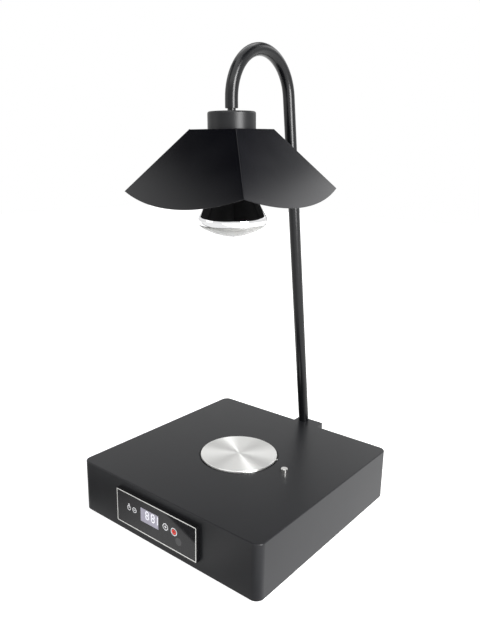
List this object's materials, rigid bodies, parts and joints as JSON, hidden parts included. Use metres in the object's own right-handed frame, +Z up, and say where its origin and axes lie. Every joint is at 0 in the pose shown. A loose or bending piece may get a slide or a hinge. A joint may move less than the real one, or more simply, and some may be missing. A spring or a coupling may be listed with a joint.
{
  "type": "food heat lamp",
  "caption": "Free-standing food warmer: square box base with a round warming plate and touch controls, and a bent arm with a square shade and reflector bulb.",
  "frame": {"origin": "centre of the whole lamp's footprint, on the plane that the feet stand on", "axes": "+Z up; -Y towards the front with the control panel; +X to the right as seen from the front"},
  "size_m": [0.43, 0.4612, 0.873],
  "materials": {
    "painted_steel": "satin black powder coat with a very fine texture",
    "painted_arm": "satin black powder coat, a little glossier",
    "painted_shade": "matt black powder coat on thin sheet",
    "turned_steel": "stainless steel turned in fine rings",
    "bright_steel": "polished stainless steel",
    "plated_steel": "zinc-plated fasteners",
    "galvanised": "galvanised sheet",
    "foot_rubber": "black rubber",
    "gloss_black": "gloss black moulding",
    "touch_glass": "dark smoked touch panel, glossy",
    "bright_trim": "thin bright frame",
    "display": "pale lit display window",
    "board_green": "glass-fibre circuit board with parts",
    "nylon": "black moulded nylon",
    "mica": "mica and resistance strip",
    "fibre": "white ceramic fibre board",
    "porcelain": "glazed porcelain",
    "brass": "plain brass",
    "bush_bronze": "sintered bronze",
    "lead_jacket": "heat-proof black silicone lead",
    "spring_steel": "spring wire",
    "aluminium_cap": "rolled screw cap",
    "bulb_glass": "mirrored above the widest ring, frosted face below",
    "filament": "tungsten on nickel wires and a glass stem"
  },
  "bodies": {
    "base": {"base_cover": "painted_steel", "bottom_plate": "galvanised", "rubber_feet": "foot_rubber", "foot_screws": "plated_steel", "hot_plate": "turned_steel", "heating_element": "mica", "insulation_pad": "fibre", "clamp_plate": "galvanised", "clamp_nut": "plated_steel", "plate_thermostat": "nylon", "heater_pan": "galvanised", "pan_nuts": "plated_steel", "panel_bezel": "gloss_black", "panel_trim": "bright_trim", "panel_glass": "touch_glass", "display_module": "display", "control_board": "board_green", "board_screws": "plated_steel", "touch_springs": "bright_steel", "ir_receiver": "nylon", "panel_screws": "plated_steel", "plunger_guide": "bright_steel", "guide_nut": "plated_steel", "micro_switch": "nylon", "switch_bracket": "galvanised", "post_block": "painted_steel", "block_screws": "plated_steel", "arm_tube": "painted_arm", "arm_spigot": "plated_steel", "lamp_cable": "lead_jacket", "arm_end_bush": "bush_bronze", "terminal_block": "porcelain", "terminal_bracket": "galvanised", "power_board": "board_green", "inlet_socket": "nylon", "inlet_pins": "brass", "inlet_screws": "plated_steel"},
    "lamp_head": {"swivel_stem": "painted_arm", "friction_washer": "spring_steel", "stem_nut": "plated_steel", "lamp_cup": "painted_arm", "cup_nut": "plated_steel", "lamp_socket": "porcelain", "socket_contact": "brass", "head_lead": "lead_jacket", "shade": "painted_shade", "shade_ring": "painted_shade", "bulb_glass": "bulb_glass", "bulb_cap": "aluminium_cap", "bulb_filament": "filament"},
    "push_button": {"plunger_button": "bright_steel", "stem_clip": "spring_steel", "plunger_spring": "spring_steel"},
    "lever": {"switch_lever": "spring_steel"}
  },
  "joints": [
    {"name": "head_swivel", "type": "hinge", "parent": "base", "child": "lamp_head", "pos_m": [0.005, -0.04889, 0.72652], "axis": [0, -0.0349, 0.9994], "range_deg": [-30, 30]},
    {"name": "button_travel", "type": "slide", "parent": "base", "child": "push_button", "axis": [0, 0, -1], "range_m": [0, 0.002], "stiffness_N_per_m": 400, "springref_m": -0.001, "deforming": ["plunger_spring"]},
    {"name": "lever_pivot", "type": "hinge", "parent": "base", "child": "lever", "pos_m": [0.124, -0.00795, 0.08845], "axis": [0, -1, 0], "range_deg": [0, 8.5]}
  ],
  "couplings": [
    {"joint": "lever_pivot", "follows": "button_travel", "rad_per_m": 71.429}
  ]
}
